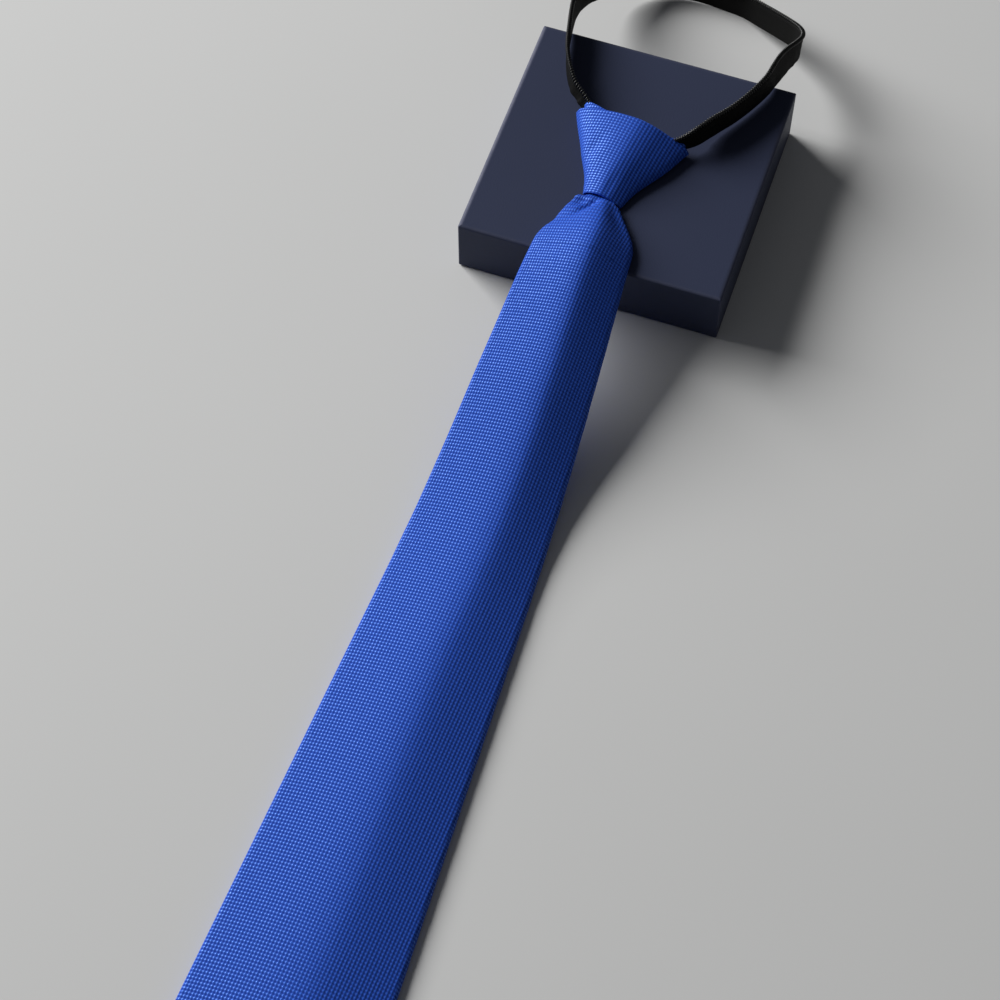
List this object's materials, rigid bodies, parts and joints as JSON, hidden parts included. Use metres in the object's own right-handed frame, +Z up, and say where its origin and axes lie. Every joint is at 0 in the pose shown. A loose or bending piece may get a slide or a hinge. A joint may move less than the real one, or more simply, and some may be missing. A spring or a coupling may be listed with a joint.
{
  "type": "zipper tie on closed gift box",
  "caption": "Ready-tied cloth necktie with a zipper neck loop, lying over a plain closed gift box, its blade running down to the table.",
  "frame": {"origin": "centre of the gift box's underside, on the table", "axes": "+Z up; the blade runs towards -Y over the box's front edge, and the neck loop stands behind the knot towards +Y"},
  "size_m": [0.115, 0.573, 0.0427],
  "materials": {
    "tie_cloth": "royal blue basket weave with a soft sheen",
    "zipper_tape": "matt black woven tape",
    "zipper_nylon": "black nylon with a soft shine",
    "box_paper": "matt dark navy textured paper"
  },
  "bodies": {
    "root": {"blade": "tie_cloth", "knot_wrap": "tie_cloth", "knot_core": "tie_cloth", "tape_left": "zipper_tape", "tape_right": "zipper_tape", "coil_left": "zipper_nylon", "coil_right": "zipper_nylon", "zipper_slider": "zipper_nylon", "gift_box": "box_paper"}
  },
  "joints": []
}
